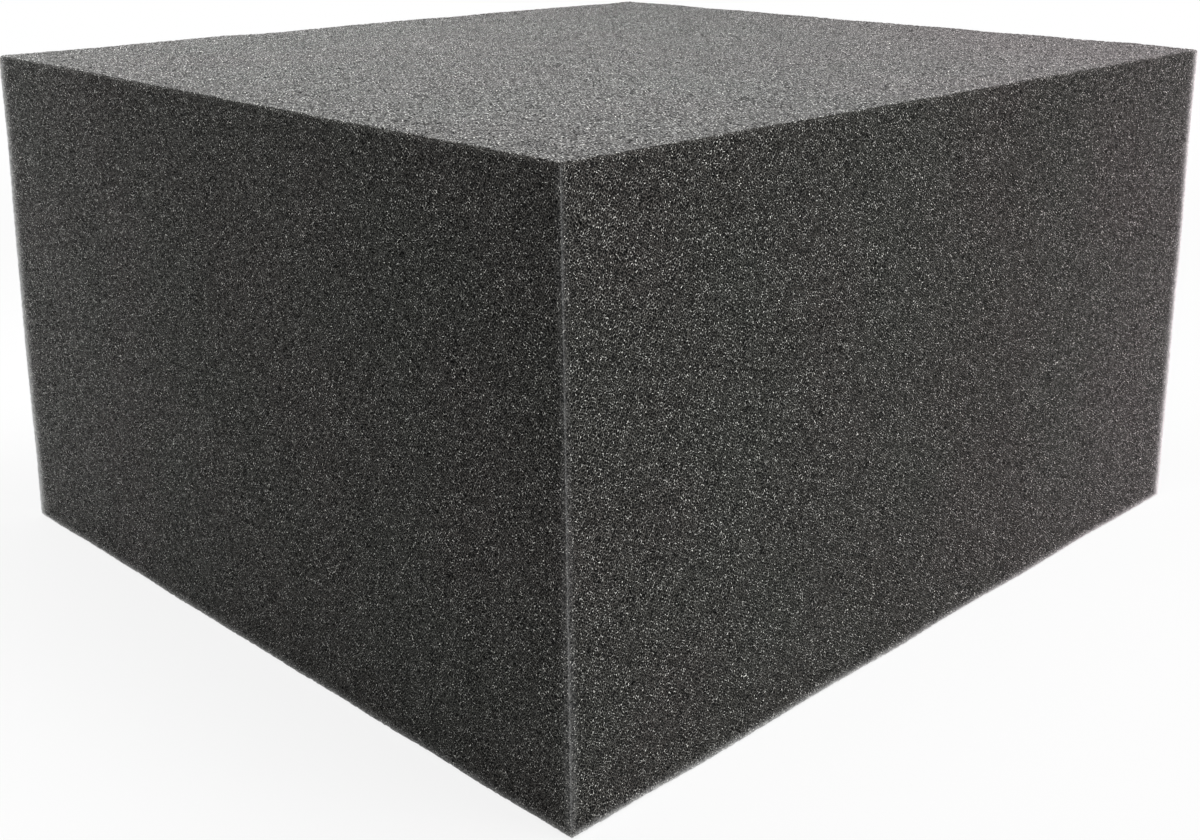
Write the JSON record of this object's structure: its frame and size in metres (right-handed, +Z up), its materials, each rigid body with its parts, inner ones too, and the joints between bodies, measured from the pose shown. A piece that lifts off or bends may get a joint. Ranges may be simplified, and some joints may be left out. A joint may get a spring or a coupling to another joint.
{
  "type": "foam block",
  "caption": "Plain rectangular block of charcoal open-cell foam, cut square on every side with soft cut edges.",
  "frame": {"origin": "centre of the base, which the block rests on", "axes": "+X along the length, +Y along the width, +Z up through the top face"},
  "size_m": [0.2794, 0.254, 0.1524],
  "materials": {
    "foam": "charcoal open-cell polyurethane foam, knife-cut, cells about 0.6 mm across"
  },
  "bodies": {
    "root": {"foam_block": "foam"}
  },
  "joints": []
}
